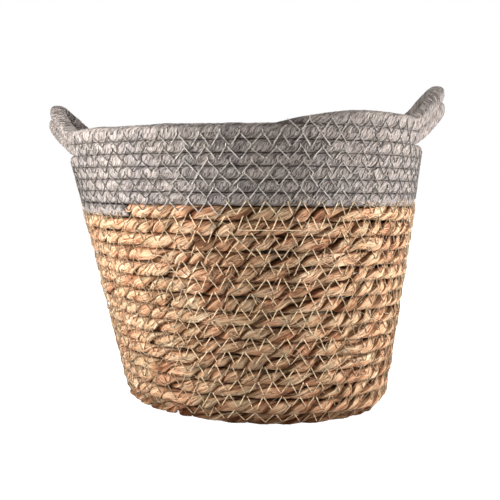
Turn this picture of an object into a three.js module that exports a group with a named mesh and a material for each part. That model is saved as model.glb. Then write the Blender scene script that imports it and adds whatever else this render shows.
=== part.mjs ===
// Coiled straw planter: a natural twisted leaf cord wound into a flat base and a flaring wall, a grey
// paper cord that carries the wall on to the rim, two lift handles bent out of the top two turns, and a
// thin waterproof liner inside. Millimetres, +Z up, origin on the floor under the middle of the box that
// the planter fills. Turns are counted from the front (-Y) and climb towards -X. Turn 0 is the first one
// above the base.
import * as THREE from 'three';

// Natural cord
const BASE_RADIUS = 98;           // outside of the wall where it meets the floor
const WALL_FLARE = 0.187;         // outward run of the wall for each millimetre of rise
const NATURAL_PITCH = 10.19;      // from one turn to the next, along the wall or the base
const NATURAL_THICKNESS = 9.6;    // through the wall
const BASE_START_RADIUS = 7.5;    // least radius of the spiral, at the middle of the cord
const CORNER_RADIUS = 4.5;        // bend from base to wall, at the middle of the cord
const CORNER_PITCHES = 1.158;     // from the start of that bend to turn 0, in pitches
const EASE_PER_THICKNESS = 1.46;  // extra spacing round the bend that the cord's thickness asks for
const EASE_PER_PITCH = 0.59;      // and what a wider pitch saves of it
const EASE_FROM = -1.5;           // the turns over which that spacing comes in
const EASE_TO = 0.5;
const BASE_FLAT = 0.96;           // depth to which the cord is pressed flat on the floor

// Grey cord
const SPLICE_TURN = 13.115;       // where the grey cord takes over from the natural one
const GREY_TURNS = 6.86;          // from the splice to the tail on the rim
const GREY_PITCH = 8.45;
const GREY_THICKNESS = 9;
const RIM_PITCH = 9.4;            // the top two turns are pressed less
const TAIL_ANGLE = 30;            // degrees over which the last end thins out
const TAIL_END_SCALE = 0.2;

// Handles: each is a strap of the top two turns, lifted off the turn below. Bearing and half angle are
// degrees round the rim, reach and rise go out and up from the wall, and tip is the lean inwards.
const HANDLES = {
  left: { bearing: 90, halfAngle: 25, reach: 11.6, rise: 22.6, tip: 20 },
  right: { bearing: 270, halfAngle: 26.5, reach: 16.6, rise: 25.2, tip: 0 },
};
const STRAP_PITCH = 11.6;         // between the two cords at the middle of a strap, where they are loose
const STRAP_GAP = 1.1;
const STRAP_THICKNESS = 11.4;
const RIM_LEAD = 0.18;            // turns of rim before the first handle

// Liner
const LINER_WALL = 0.8;
const LINER_CLEARANCE = 0.4;
const LINER_TURNS_BELOW_RIM = 4;
const LINER_CORNER = 3;           // chamfer between its floor and its wall
const LINER_SEGMENTS = 48;
const LINER_RINGS = 5;            // steps of its wall, which follows the bow of the coil

// The whole basket has settled to one side: above its level base it leans towards -X and is taller on
// its +X side
const LEAN = 0.088;               // sideways shift for each millimetre of height
const SIDE_BOW = 1;               // the middle line of the wall bows back towards +X half way up
const BOW_HEIGHT = 200;           // height over which it bows
const LEVEL_HEIGHT = 10;          // the base and the liner's floor stay level up to here
const SIDE_STRETCH = 0.000313;    // share of height gained for each millimetre towards +X

// Clearances and divisions
const TURN_GAP = 0.65;            // between neighbouring turns
const END_GAP = 0.44;             // between the ends of two lengths of cord
const STEPS_PER_TURN = 24;
const INNER_STEPS_PER_TURN = 12;  // on the small turns of the base
const INNER_RADIUS = 30;
const FINE_STEPS_PER_TURN = 72;   // on the handles and the tail
const TANGENT_STEP = 0.004;       // turns either side from which a cord's direction is taken
const FLAT_SHARE = 0.55;          // width of a cord's flat faces against its whole width

const FLARE_ANGLE = Math.atan(WALL_FLARE);
const CORNER_TURN = Math.PI / 2 - FLARE_ANGLE;
const CORNER_LENGTH = CORNER_RADIUS * CORNER_TURN;
const CORNER_EASE = EASE_PER_THICKNESS * NATURAL_THICKNESS - EASE_PER_PITCH * NATURAL_PITCH - CORNER_RADIUS;
const BASE_HEIGHT = NATURAL_THICKNESS / 2 - BASE_FLAT;
const END_TURN = SPLICE_TURN + GREY_TURNS;
const BASE_END = -1;

// Turn at the middle of a handle's upper cord: the last time that the cord goes right through it
function upperTurn(handle) {
  return handle.bearing / 360 + Math.floor(END_TURN - (handle.bearing + handle.halfAngle) / 360);
}
const RIM_START = Math.min(...Object.values(HANDLES).map(
  (handle) => upperTurn(handle) - 1 - handle.halfAngle / 360)) - RIM_LEAD;

// Outer radius of the wall at a height
function outerRadius(z) {
  return BASE_RADIUS + WALL_FLARE * z;
}

// Start of the bend on the middle line of the cord
const CORNER_START = outerRadius(BASE_HEIGHT) - NATURAL_THICKNESS / 2 / Math.cos(FLARE_ANGLE)
  - CORNER_RADIUS * Math.tan(CORNER_TURN / 2);

// Middle line of the wound cord in the half plane of radius and height, with the outward normal's
// angle above the horizontal, at a distance along it from the centre of the base
function profile(distance, thickness) {
  const past = distance - CORNER_START;
  const angle = THREE.MathUtils.clamp(past / CORNER_RADIUS, 0, CORNER_TURN);
  const radius = Math.min(distance, CORNER_START) + CORNER_RADIUS * Math.sin(angle);
  const height = BASE_HEIGHT + CORNER_RADIUS * (1 - Math.cos(angle));
  const straight = Math.max(past - CORNER_LENGTH, 0);
  const outward = (NATURAL_THICKNESS - thickness) / 2;
  return {
    radius: radius + straight * Math.cos(angle) + outward * Math.sin(angle),
    height: height + straight * Math.sin(angle) - outward * Math.cos(angle),
    rising: angle,
  };
}

// Distance along the profile that a turn has reached. Round the bend the turns are eased apart, the
// first grey turn lies on natural cord, and the top two turns have a pitch of their own.
function windDistance(turn) {
  const eased = THREE.MathUtils.smoothstep(turn, EASE_FROM, EASE_TO)
    - THREE.MathUtils.smoothstep(0, EASE_FROM, EASE_TO);
  const natural = CORNER_START + CORNER_EASE * eased
    + NATURAL_PITCH * (CORNER_PITCHES + Math.min(turn, SPLICE_TURN));
  const legs = [
    [SPLICE_TURN, SPLICE_TURN + 1, (NATURAL_PITCH + GREY_PITCH) / 2],
    [SPLICE_TURN + 1, RIM_START, GREY_PITCH],
    [RIM_START, RIM_START + 1, (GREY_PITCH + RIM_PITCH) / 2],
    [RIM_START + 1, END_TURN, RIM_PITCH],
  ];
  return natural + legs.reduce(
    (sum, [from, to, pitch]) => sum + pitch * (THREE.MathUtils.clamp(turn, from, to) - from), 0);
}

// The settled shape of a point given in the true round basket
function settle(point) {
  const risen = THREE.MathUtils.clamp(point.z / BOW_HEIGHT, 0, 1);
  return new THREE.Vector3(
    point.x - LEAN * point.z + SIDE_BOW * 4 * risen * (1 - risen),
    point.y,
    Math.max(point.z, 0) + SIDE_STRETCH * point.x * Math.max(point.z - LEVEL_HEIGHT, 0),
  );
}

// A point of the round basket from radius, height and turn
function place(radius, height, turn) {
  const bearing = 2 * Math.PI * turn;
  return new THREE.Vector3(-radius * Math.sin(bearing), -radius * Math.cos(bearing), height);
}

// The handle that a turn belongs to, which of its cords that is (1 upper, -1 lower), and its share of
// the lift, from 0 at the ends to 1 in the middle
function handleAt(turn) {
  for (const handle of Object.values(HANDLES)) {
    for (const side of [1, -1]) {
      const middle = upperTurn(handle) - (side > 0 ? 0 : 1);
      const along = (turn - middle) * 360 / handle.halfAngle;
      if (Math.abs(along) < 1) {
        return { handle, side, share: Math.cos(along * Math.PI / 2) ** 2 };
      }
    }
  }
  return null;
}

// Middle of the cord at a turn, and the direction across the wall at that place
function cordAt(turn, thickness) {
  const held = handleAt(turn);
  if (!held) {
    const line = profile(windDistance(turn), thickness);
    return {
      middle: place(line.radius, line.height, turn),
      outward: place(Math.sin(line.rising), -Math.cos(line.rising), turn),
    };
  }
  const { handle, side, share } = held;
  const line = profile(windDistance(turn) - side * RIM_PITCH / 2, thickness);
  const tip = line.rising + share * (THREE.MathUtils.degToRad(handle.tip) + FLARE_ANGLE);
  const spread = side * THREE.MathUtils.lerp(RIM_PITCH, STRAP_PITCH, share) / 2;
  const radius = line.radius + share * handle.reach + spread * Math.cos(tip);
  const height = line.height + share * handle.rise + spread * Math.sin(tip);
  return {
    middle: place(radius, height, turn),
    outward: place(Math.sin(tip), -Math.cos(tip), turn),
  };
}

// Turns at which a length of cord has its sections
function sectionTurns(from, to) {
  const turns = [from];
  const first = Math.ceil(from * FINE_STEPS_PER_TURN + 0.5);
  for (let step = first; step < to * FINE_STEPS_PER_TURN - 0.5; step += 1) {
    const turn = step / FINE_STEPS_PER_TURN;
    const fine = handleAt(turn) || turn > END_TURN - TAIL_ANGLE / 360;
    const inner = windDistance(turn) < INNER_RADIUS;
    const stride = fine ? 1 : FINE_STEPS_PER_TURN / (inner ? INNER_STEPS_PER_TURN : STEPS_PER_TURN);
    if (step % stride === 0) {
      turns.push(turn);
    }
  }
  turns.push(to);
  return turns;
}

// Share of its full size that the cord has at a turn: the last end thins out
function fullness(turn) {
  const start = END_TURN - TAIL_ANGLE / 360;
  const thinned = THREE.MathUtils.clamp((turn - start) / (END_TURN - start), 0, 1);
  return 1 - (1 - TAIL_END_SCALE) * thinned ** 2;
}

// One unbroken length of cord with six-sided sections, flat towards the inside and the outside
const SECTION = [[1, 0], [FLAT_SHARE, 1], [-FLAT_SHARE, 1], [-1, 0], [-FLAT_SHARE, -1], [FLAT_SHARE, -1]];
function cordGeometry(from, to, thickness, sizeAt) {
  const turns = sectionTurns(from, to);
  const rings = turns.map((turn) => {
    const { middle, outward } = cordAt(turn, thickness);
    const ahead = cordAt(Math.min(turn + TANGENT_STEP, to), thickness).middle;
    const behind = cordAt(Math.max(turn - TANGENT_STEP, from), thickness).middle;
    const along = ahead.sub(behind).normalize();
    const across = outward.addScaledVector(along, -outward.dot(along)).normalize();
    const up = new THREE.Vector3().crossVectors(along, across).normalize();
    const scale = fullness(turn);
    const size = sizeAt(turn);
    middle.addScaledVector(up, -size.width / 2 * (1 - scale));
    return SECTION.map(([rise, out]) => settle(middle.clone()
      .addScaledVector(up, rise * size.width / 2 * scale)
      .addScaledVector(across, out * size.depth / 2 * scale)));
  });
  return { turns, rings, geometry: tubeGeometry(rings) };
}

// A closed tube through rings of points
function tubeGeometry(rings) {
  const sides = rings[0].length;
  const index = [];
  for (let ring = 0; ring + 1 < rings.length; ring += 1) {
    for (let side = 0; side < sides; side += 1) {
      const a = ring * sides + side;
      const b = ring * sides + (side + 1) % sides;
      index.push(a, a + sides, b, b, a + sides, b + sides);
    }
  }
  const last = (rings.length - 1) * sides;
  for (let side = 1; side + 1 < sides; side += 1) {
    index.push(0, side, side + 1);
    index.push(last, last + side + 1, last + side);
  }
  const geometry = new THREE.BufferGeometry().setFromPoints(rings.flat());
  geometry.setIndex(index);
  geometry.computeVertexNormals();
  return geometry;
}

// Least distance between points of a cord that are more than half a turn apart along it
function leastGap({ turns, rings }) {
  let least = Infinity;
  const points = [];
  rings.forEach((ring, i) => ring.forEach((corner, side) => {
    points.push({ turn: turns[i], corner });
    points.push({ turn: turns[i], corner: corner.clone().lerp(ring[(side + 1) % ring.length], 0.5) });
    if (i + 1 < rings.length) {
      const halfway = corner.clone().lerp(rings[i + 1][side], 0.5);
      points.push({ turn: (turns[i] + turns[i + 1]) / 2, corner: halfway });
    }
  }));
  for (let i = 0; i < points.length; i += 1) {
    for (let j = i + 1; j < points.length; j += 1) {
      if (Math.abs(points[i].turn - points[j].turn) > 0.5) {
        least = Math.min(least, points[i].corner.distanceToSquared(points[j].corner));
      }
    }
  }
  return Math.sqrt(least);
}

// Thin cup inside the coil, closed below and open above
function linerGeometry() {
  const facetLoss = Math.cos(Math.PI / STEPS_PER_TURN);
  const coilDepth = Math.max(NATURAL_THICKNESS, GREY_THICKNESS) / Math.cos(FLARE_ANGLE);
  const outside = (z) => (outerRadius(z) - coilDepth) * facetLoss - LINER_CLEARANCE;
  const floor = BASE_HEIGHT + NATURAL_THICKNESS / 2 + LINER_CLEARANCE;
  const top = profile(windDistance(END_TURN - LINER_TURNS_BELOW_RIM), GREY_THICKNESS).height;
  const wall = [];
  for (let ring = 0; ring <= LINER_RINGS; ring += 1) {
    wall.push(THREE.MathUtils.lerp(floor + LINER_CORNER, top, ring / LINER_RINGS));
  }
  const outline = [
    [0, floor],
    [outside(floor) - LINER_CORNER, floor],
    ...wall.map((z) => [outside(z), z]),
    ...wall.reverse().map((z) => [outside(z) - LINER_WALL, z]),
    [outside(floor) - LINER_CORNER, floor + LINER_WALL],
    [0, floor + LINER_WALL],
  ];
  const points = outline.map(([radius, height]) => new THREE.Vector2(radius, height));
  const geometry = new THREE.LatheGeometry(points, LINER_SEGMENTS);
  geometry.rotateX(Math.PI / 2);
  const position = geometry.attributes.position;
  for (let i = 0; i < position.count; i += 1) {
    const settled = settle(new THREE.Vector3().fromBufferAttribute(position, i));
    position.setXYZ(i, settled.x, settled.y, settled.z);
  }
  geometry.computeVertexNormals();
  return geometry;
}

// Width of a cord along the wall, its pitch less the gap, and its depth through the wall
function naturalSize() {
  return { width: NATURAL_PITCH - TURN_GAP, depth: NATURAL_THICKNESS };
}
function greySize() {
  return { width: GREY_PITCH - TURN_GAP, depth: GREY_THICKNESS };
}

// The rim's cord opens to its own pitch over a turn and is fullest in the handles
function rimSize(turn) {
  const opening = THREE.MathUtils.clamp(turn - RIM_START, 0, 1);
  const width = THREE.MathUtils.lerp(GREY_PITCH, RIM_PITCH, opening) - TURN_GAP;
  const held = handleAt(turn);
  const share = held ? held.share : 0;
  return {
    width: THREE.MathUtils.lerp(width, STRAP_PITCH - STRAP_GAP, share),
    depth: THREE.MathUtils.lerp(GREY_THICKNESS, STRAP_THICKNESS, share),
  };
}

// Materials
function plainMaterial(name, color, roughness) {
  return new THREE.MeshStandardMaterial({ name, color, roughness, metalness: 0 });
}
const naturalStraw = plainMaterial('natural_straw', 0xb8946a, 0.85);
const greyCord = plainMaterial('grey_cord', 0x9f9893, 0.9);
const linerFilm = plainMaterial('liner_film', 0x8f8a84, 0.35);

// A turn's share that an end gap takes up at that turn
function gapTurns(turn) {
  return END_GAP / 2 / (2 * Math.PI * profile(windDistance(turn), GREY_THICKNESS).radius);
}

// Where each length of cord starts and ends. The spiral of the base is even up to EVEN_TURN, and starts
// at one of its sections, so that it faces a corner of the next turn.
const EVEN_TURN = BASE_END - 2;
const leastTurn = EVEN_TURN + (BASE_START_RADIUS - windDistance(EVEN_TURN)) / NATURAL_PITCH;
const baseStart = Math.ceil(leastTurn * INNER_STEPS_PER_TURN) / INNER_STEPS_PER_TURN;
const wallStart = BASE_END + gapTurns(BASE_END);
const splice = gapTurns(SPLICE_TURN);
const rimGap = gapTurns(RIM_START);
const LENGTHS = [
  ['base_coil', baseStart, BASE_END - gapTurns(BASE_END), NATURAL_THICKNESS, naturalSize, naturalStraw],
  ['lower_wall_coil', wallStart, SPLICE_TURN - splice, NATURAL_THICKNESS, naturalSize, naturalStraw],
  ['upper_wall_coil', SPLICE_TURN + splice, RIM_START - rimGap, GREY_THICKNESS, greySize, greyCord],
  ['rim_and_handles', RIM_START + rimGap, END_TURN, GREY_THICKNESS, rimSize, greyCord],
];

const planter = new THREE.Group();
planter.name = 'straw_planter';
for (const [name, from, to, thickness, sizeAt, material] of LENGTHS) {
  const cord = cordGeometry(from, to, thickness, sizeAt);
  const mesh = new THREE.Mesh(cord.geometry, material.clone());
  mesh.name = name;
  planter.add(mesh);
  const gap = leastGap(cord).toFixed(2);
  console.log(`${name}: ${(to - from).toFixed(2)} turns, least gap to itself ${gap} mm`);
}

const liner = new THREE.Mesh(linerGeometry(), linerFilm);
liner.name = 'liner';
planter.add(liner);

// The origin moves from the middle of the base to the middle of the box
const middle = new THREE.Box3().setFromObject(planter).getCenter(new THREE.Vector3());
for (const mesh of planter.children) {
  mesh.geometry.translate(-middle.x, -middle.y, 0);
}
console.log(`middle of the base at x ${(-middle.x).toFixed(3)}, y ${(-middle.y).toFixed(3)} mm`);

export default planter;
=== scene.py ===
import math

import bmesh
import bpy
import numpy as np
from mathutils import Euler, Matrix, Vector
from mathutils.bvhtree import BVHTree


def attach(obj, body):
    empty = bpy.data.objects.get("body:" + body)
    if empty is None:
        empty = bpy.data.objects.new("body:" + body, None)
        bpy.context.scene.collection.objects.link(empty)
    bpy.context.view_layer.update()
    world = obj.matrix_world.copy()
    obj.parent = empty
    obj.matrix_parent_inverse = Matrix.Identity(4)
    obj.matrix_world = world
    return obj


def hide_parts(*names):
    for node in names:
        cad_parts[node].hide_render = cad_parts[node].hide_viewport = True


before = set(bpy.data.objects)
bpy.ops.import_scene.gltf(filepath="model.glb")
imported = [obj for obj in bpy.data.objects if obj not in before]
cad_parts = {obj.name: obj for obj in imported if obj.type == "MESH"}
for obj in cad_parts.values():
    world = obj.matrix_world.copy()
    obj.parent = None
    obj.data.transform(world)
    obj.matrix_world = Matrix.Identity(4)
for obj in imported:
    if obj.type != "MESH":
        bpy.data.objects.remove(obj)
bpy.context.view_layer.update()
scene = bpy.context.scene

# The camera stands at the photograph's viewing angle, a little above the middle of the wall and rolled by a
# few degrees. Its place and lens come from a fit of the outline and the seams.
AXIS_X = 0.017035  # the middle of the base, from the frame's origin
AXIS_Y = -0.000432
CAMERA_LEFT = 0.00953  # how far the camera stands to the left of that middle
CAMERA_FRONT = 0.6966
CAMERA_HEIGHT = 0.1584
CAMERA_PITCH = math.radians(3.822)
CAMERA_ROLL = math.radians(2.461)
LENS_MM = 64.96
SENSOR_MM = 36
NEAREST_SEEN = 0.01
camera_data = bpy.data.cameras.new("camera")
camera_data.sensor_width = SENSOR_MM
camera_data.lens = LENS_MM
camera_data.clip_start = NEAREST_SEEN
camera = bpy.data.objects.new("camera", camera_data)
camera.location = (AXIS_X - CAMERA_LEFT, AXIS_Y - CAMERA_FRONT, CAMERA_HEIGHT)
aim = Euler((math.pi / 2 - CAMERA_PITCH, 0, 0)).to_matrix() @ Euler((0, 0, CAMERA_ROLL)).to_matrix()
camera.rotation_euler = aim.to_euler()
scene.collection.objects.link(camera)
scene.camera = camera
scene.view_settings.view_transform = "Standard"


# Studio: a white floor that keeps the planter's shadow, a white surround, a slim soft box close by at each
# side of the front, and three broad ones round the back. The middle of the front has little light of its own,
# so it is darker than its flanks.
FLOOR_HALF = 4.0
FLOOR_DROP = 0.0002  # below the planter's feet
FLOOR_WHITE = 0.35
FLOOR_LIFT = 0.9  # camera rays only: brings the lit floor near the planter to white
FLOOR_NEAR = 0.25
FLOOR_FAR = 0.7  # from here on the floor is as white as the surround
FILL_LEVEL = 0.045  # light that the surround gives, where it isn't looked at
SOFT_BOXES = (
    {"angle": -50, "away": 0.277, "height": 0.13, "aim": 0.13, "size": (0.16, 0.47), "power": 1.58},
    {"angle": 57, "away": 0.277, "height": 0.21, "aim": 0.24, "size": (0.16, 0.47), "power": 1.38},
    {"angle": -135, "away": 0.7, "height": 0.42, "aim": 0.14, "size": (0.5, 0.8), "power": 3.6},
    {"angle": 135, "away": 0.7, "height": 0.42, "aim": 0.14, "size": (0.5, 0.8), "power": 2.4},
    {"angle": 180, "away": 0.8, "height": 0.40, "aim": 0.12, "size": (0.7, 0.7), "power": 6.0},
)


def node_chain(material):
    """The node tree of a material, its shader, and a function that adds a node with its settings"""
    material.use_nodes = True
    tree = material.node_tree

    def add(kind, **settings):
        node = tree.nodes.new(kind)
        for key, value in settings.items():
            setattr(node, key, value)
        return node

    return tree, tree.nodes.get("Principled BSDF"), add


floor_shape = bmesh.new()
bmesh.ops.create_grid(floor_shape, x_segments=1, y_segments=1, size=FLOOR_HALF)
bmesh.ops.translate(floor_shape, verts=floor_shape.verts, vec=(0, 0, -FLOOR_DROP))
floor_mesh = bpy.data.meshes.new("floor")
floor_shape.to_mesh(floor_mesh)
floor_shape.free()
floor = bpy.data.objects.new("floor", floor_mesh)
scene.collection.objects.link(floor)
floor_paint = bpy.data.materials.new("floor_white")
tree, shader, add = node_chain(floor_paint)
shader.inputs["Base Color"].default_value = (FLOOR_WHITE, FLOOR_WHITE, FLOOR_WHITE, 1)
shader.inputs["Roughness"].default_value = 0.9
rays = add("ShaderNodeLightPath")
from_middle = add("ShaderNodeVectorMath", operation="LENGTH")
tree.links.new(add("ShaderNodeTexCoord").outputs["Object"], from_middle.inputs[0])
farther = add("ShaderNodeMapRange", interpolation_type="SMOOTHSTEP")
farther.inputs["From Min"].default_value = FLOOR_NEAR
farther.inputs["From Max"].default_value = FLOOR_FAR
farther.inputs["To Min"].default_value = FLOOR_LIFT
farther.inputs["To Max"].default_value = 1.0
tree.links.new(from_middle.outputs["Value"], farther.inputs["Value"])
lift = add("ShaderNodeMath", operation="MULTIPLY")
tree.links.new(farther.outputs["Result"], lift.inputs[1])
glow = add("ShaderNodeEmission")
both = add("ShaderNodeAddShader")
tree.links.new(rays.outputs["Is Camera Ray"], lift.inputs[0])
tree.links.new(lift.outputs[0], glow.inputs["Strength"])
tree.links.new(shader.outputs[0], both.inputs[0])
tree.links.new(glow.outputs[0], both.inputs[1])
tree.links.new(both.outputs[0], tree.nodes["Material Output"].inputs["Surface"])
floor_mesh.materials.append(floor_paint)

world = bpy.data.worlds.new("surround")
scene.world = world
world.use_nodes = True
sky = world.node_tree
background = sky.nodes["Background"]
background.inputs["Color"].default_value = (1, 1, 1, 1)
sky_rays = sky.nodes.new("ShaderNodeLightPath")
seen = sky.nodes.new("ShaderNodeMath")
seen.operation = "MAXIMUM"
seen_through = sky.nodes.new("ShaderNodeMath")
seen_through.operation = "MAXIMUM"
level = sky.nodes.new("ShaderNodeMapRange")
level.inputs["To Min"].default_value = FILL_LEVEL
level.inputs["To Max"].default_value = 1.0
sky.links.new(sky_rays.outputs["Is Camera Ray"], seen.inputs[0])
sky.links.new(sky_rays.outputs["Is Glossy Ray"], seen.inputs[1])
sky.links.new(seen.outputs[0], seen_through.inputs[0])
sky.links.new(sky_rays.outputs["Is Transmission Ray"], seen_through.inputs[1])
sky.links.new(seen_through.outputs[0], level.inputs["Value"])
sky.links.new(level.outputs["Result"], background.inputs["Strength"])

for soft_box in SOFT_BOXES:
    box_light = bpy.data.lights.new("soft_box", "AREA")
    box_light.shape = "RECTANGLE"
    box_light.size, box_light.size_y = soft_box["size"]
    box_light.energy = soft_box["power"]
    lamp = bpy.data.objects.new("soft_box", box_light)
    angle = math.radians(soft_box["angle"])
    away = soft_box["away"]
    lamp.location = (AXIS_X + away * math.sin(angle), AXIS_Y - away * math.cos(angle), soft_box["height"])
    target = Vector((AXIS_X, AXIS_Y, soft_box["aim"]))
    lamp.rotation_euler = (target - lamp.location).to_track_quat("-Z", "Y").to_euler()
    lamp.visible_camera = False
    scene.collection.objects.link(lamp)


# Natural cord: three flat strands of dry leaf twisted round each other, wound from the middle of the base
# outwards, round the corner and up the wall, and stitched turn to turn. It is one length from the middle to
# the splice, cut into pieces here by its turns.
BASE_RADIUS = 0.098
WALL_FLARE = 0.187  # outwards, per height
NATURAL_PITCH = 0.01019
NATURAL_THICKNESS = 0.0096
CORNER_RADIUS = 0.0045
CORNER_PITCHES = 1.158
EASE_PER_THICKNESS = 1.46  # round the corner the turns lie farther apart, eased in from one turn to another
EASE_PER_PITCH = 0.59
EASE_FROM = -1.5
EASE_TO = 0.5
BASE_FLAT = 0.00096
SPLICE_TURN = 13.115  # turns count from the corner, and are below 0 in the base
GREY_TURNS = 6.86
GREY_PITCH = 0.00845
GREY_THICKNESS = 0.009
RIM_PITCH = 0.0094
HANDLES = (
    {"bearing": 90, "half_angle": 25, "reach": 0.0120, "rise": 0.0224, "tip": 6},
    {"bearing": 270, "half_angle": 26.5, "reach": 0.0168, "rise": 0.0244, "tip": 0},
)
STRAP_PITCH = 0.0109  # between the two cords of a handle
STRAP_WIDE = 0.0110
STRAP_DEEP = 0.0116
RIM_LEAD = 0.18
LEAN = 0.088  # sideways, per height
SIDE_BOW = 0.001
BOW_HEIGHT = 0.2
LEVEL_HEIGHT = 0.01  # the rows are level up to here
SIDE_STRETCH = 0.313  # above it they rise to one side, per distance from the middle and per height
FINE_STEPS = 1500  # per turn, to measure a cord's length by
WELD_WITHIN = 1e-7
FLARE_ANGLE = math.atan(WALL_FLARE)
CORNER_TURN = math.pi / 2 - FLARE_ANGLE
CORNER_EASE = EASE_PER_THICKNESS * NATURAL_THICKNESS - EASE_PER_PITCH * NATURAL_PITCH - CORNER_RADIUS
BASE_HEIGHT = NATURAL_THICKNESS / 2 - BASE_FLAT
END_TURN = SPLICE_TURN + GREY_TURNS
BASE_START = -8.92
BASE_END = -1


def upper_turn(handle):
    """Turn at the middle of a handle's upper cord"""
    return handle["bearing"] / 360 + math.floor(END_TURN - (handle["bearing"] + handle["half_angle"]) / 360)


RIM_START = min(upper_turn(h) - 1 - h["half_angle"] / 360 for h in HANDLES) - RIM_LEAD
CORNER_START = (
    BASE_RADIUS
    + WALL_FLARE * BASE_HEIGHT
    - NATURAL_THICKNESS / 2 / math.cos(FLARE_ANGLE)
    - CORNER_RADIUS * math.tan(CORNER_TURN / 2)
)


def smooth(value, low, high):
    """0 below low, 1 above high, and an eased rise between them"""
    share = np.clip((value - low) / (high - low), 0, 1)
    return share * share * (3 - 2 * share)


def wind_distance(turn):
    """Distance from the middle of the base, along base and wall, that a turn has reached"""
    eased = smooth(turn, EASE_FROM, EASE_TO) - smooth(0, EASE_FROM, EASE_TO)
    natural = NATURAL_PITCH * (CORNER_PITCHES + np.minimum(turn, SPLICE_TURN))
    distance = CORNER_START + CORNER_EASE * eased + natural
    for low, high, pitch in (
        (SPLICE_TURN, SPLICE_TURN + 1, (NATURAL_PITCH + GREY_PITCH) / 2),
        (SPLICE_TURN + 1, RIM_START, GREY_PITCH),
        (RIM_START, RIM_START + 1, (GREY_PITCH + RIM_PITCH) / 2),
        (RIM_START + 1, END_TURN, RIM_PITCH),
    ):
        distance = distance + pitch * (np.clip(turn, low, high) - low)
    return distance


def profile(distance, thickness):
    """Radius, height and slope of the cord's middle line at a distance along base and wall"""
    past = distance - CORNER_START
    angle = np.clip(past / CORNER_RADIUS, 0, CORNER_TURN)
    straight = np.maximum(past - CORNER_RADIUS * CORNER_TURN, 0)
    outward = (NATURAL_THICKNESS - thickness) / 2
    radius = np.minimum(distance, CORNER_START) + CORNER_RADIUS * np.sin(angle)
    height = BASE_HEIGHT + CORNER_RADIUS * (1 - np.cos(angle))
    return (
        radius + straight * np.cos(angle) + outward * np.sin(angle),
        height + straight * np.sin(angle) - outward * np.cos(angle),
        angle,
    )


def place(radius, height, turn):
    """A point, or a direction, of the round basket from radius, height and turn"""
    bearing = 2 * np.pi * turn
    return np.stack([-radius * np.sin(bearing), -radius * np.cos(bearing), height + 0 * bearing], axis=-1)


def settle(points, lowest=0.0):
    """Points of the round basket where they are once it has settled: it leans to one side, is taller on the
    other, and lies flat on the floor"""
    x, y, z = points[..., 0], points[..., 1], points[..., 2]
    risen = np.clip(z / BOW_HEIGHT, 0, 1)
    sideways = x - LEAN * z + SIDE_BOW * 4 * risen * (1 - risen) + AXIS_X
    upwards = np.maximum(z, lowest) + SIDE_STRETCH * x * np.maximum(z - LEVEL_HEIGHT, 0)
    return np.stack([sideways, y + AXIS_Y, upwards], axis=-1)


def handle_lift(turn):
    """For each turn: which cord of a handle it is (1 upper, -1 lower, 0 none), its share of the lift, and the
    handle's reach, rise and tip there"""
    turn = np.asarray(turn, float)
    side, share, reach, rise, tip = (np.zeros_like(turn) for _ in range(5))
    for handle in HANDLES:
        for cord in (1, -1):
            middle = upper_turn(handle) - (cord < 0)
            along = (turn - middle) * 360 / handle["half_angle"]
            held = np.abs(along) < 1
            side[held] = cord
            share[held] = np.cos(along[held] * np.pi / 2) ** 2
            reach[held], rise[held], tip[held] = handle["reach"], handle["rise"], math.radians(handle["tip"])
    return side, share, reach, rise, tip


def cord_middle(turn, thickness):
    """Middle of a cord and the outward direction there, in the round basket"""
    side, share, reach, rise, tip = handle_lift(turn)
    radius, height, rising = profile(wind_distance(turn) - side * RIM_PITCH / 2, thickness)
    slope = rising + share * (tip + FLARE_ANGLE) * (side != 0)
    spread = side * (RIM_PITCH + (STRAP_PITCH - RIM_PITCH) * share) / 2
    radius = radius + share * reach + spread * np.cos(slope)
    height = height + share * rise + spread * np.sin(slope)
    return place(radius, height, turn), place(np.sin(slope), -np.cos(slope), turn)


def unit(vectors):
    """Vectors drawn out or in to a length of 1"""
    return vectors / np.linalg.norm(vectors, axis=-1, keepdims=True)


def cord_line(first, last, thickness, step):
    """Even rings along a cord: their turns, their places along it, their middles, and the directions up and
    out"""
    fine = np.linspace(first, last, int((last - first) * FINE_STEPS))
    middle, _ = cord_middle(fine, thickness)
    run = np.concatenate([[0], np.cumsum(np.linalg.norm(np.diff(middle, axis=0), axis=1))])
    along = np.linspace(0, run[-1], int(run[-1] / step) + 1)
    turn = np.interp(along, run, fine)
    middle, outward = cord_middle(turn, thickness)
    ahead = unit(np.gradient(middle, axis=0))
    outward = unit(outward - ahead * np.sum(outward * ahead, axis=1, keepdims=True))
    return turn, along, middle, np.cross(ahead, outward), outward


def wander(position, step, seed):
    """Smooth random values from -1 to 1 along a length, a new one for each step"""
    values = np.random.default_rng(seed).uniform(-1, 1, int(np.max(position) / step) + 3)
    spot = position / step
    index = spot.astype(int)
    blend = smooth(spot - index, 0, 1)
    return values[index] * (1 - blend) + values[index + 1] * blend


def crinkle(position, step, around, count, seed):
    """Smooth random values from -1 to 1 on a tube, by the place along it and the share of the way round"""
    values = np.random.default_rng(seed).uniform(-1, 1, (int(np.max(position) / step) + 3, count))
    spot = position / step
    index = spot.astype(int)
    blend = smooth(spot - index, 0, 1)[:, None]
    rows = values[index] * (1 - blend) + values[index + 1] * blend
    spot = around * count
    index = spot.astype(int)
    blend = smooth(spot - index, 0, 1)
    return rows[:, index % count] * (1 - blend) + rows[:, (index + 1) % count] * blend


def stray(run, amount, seed):
    """Random values along a cord, from how far and over what length it strays"""
    far, step = amount
    return far * wander(run, step, seed)


def bulge(run, around, amount, seed):
    """Random bumps on a cord, from how high, over what length and how many round they are"""
    high, step, count = amount
    return high * crinkle(run, step, around, count, seed)


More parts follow.
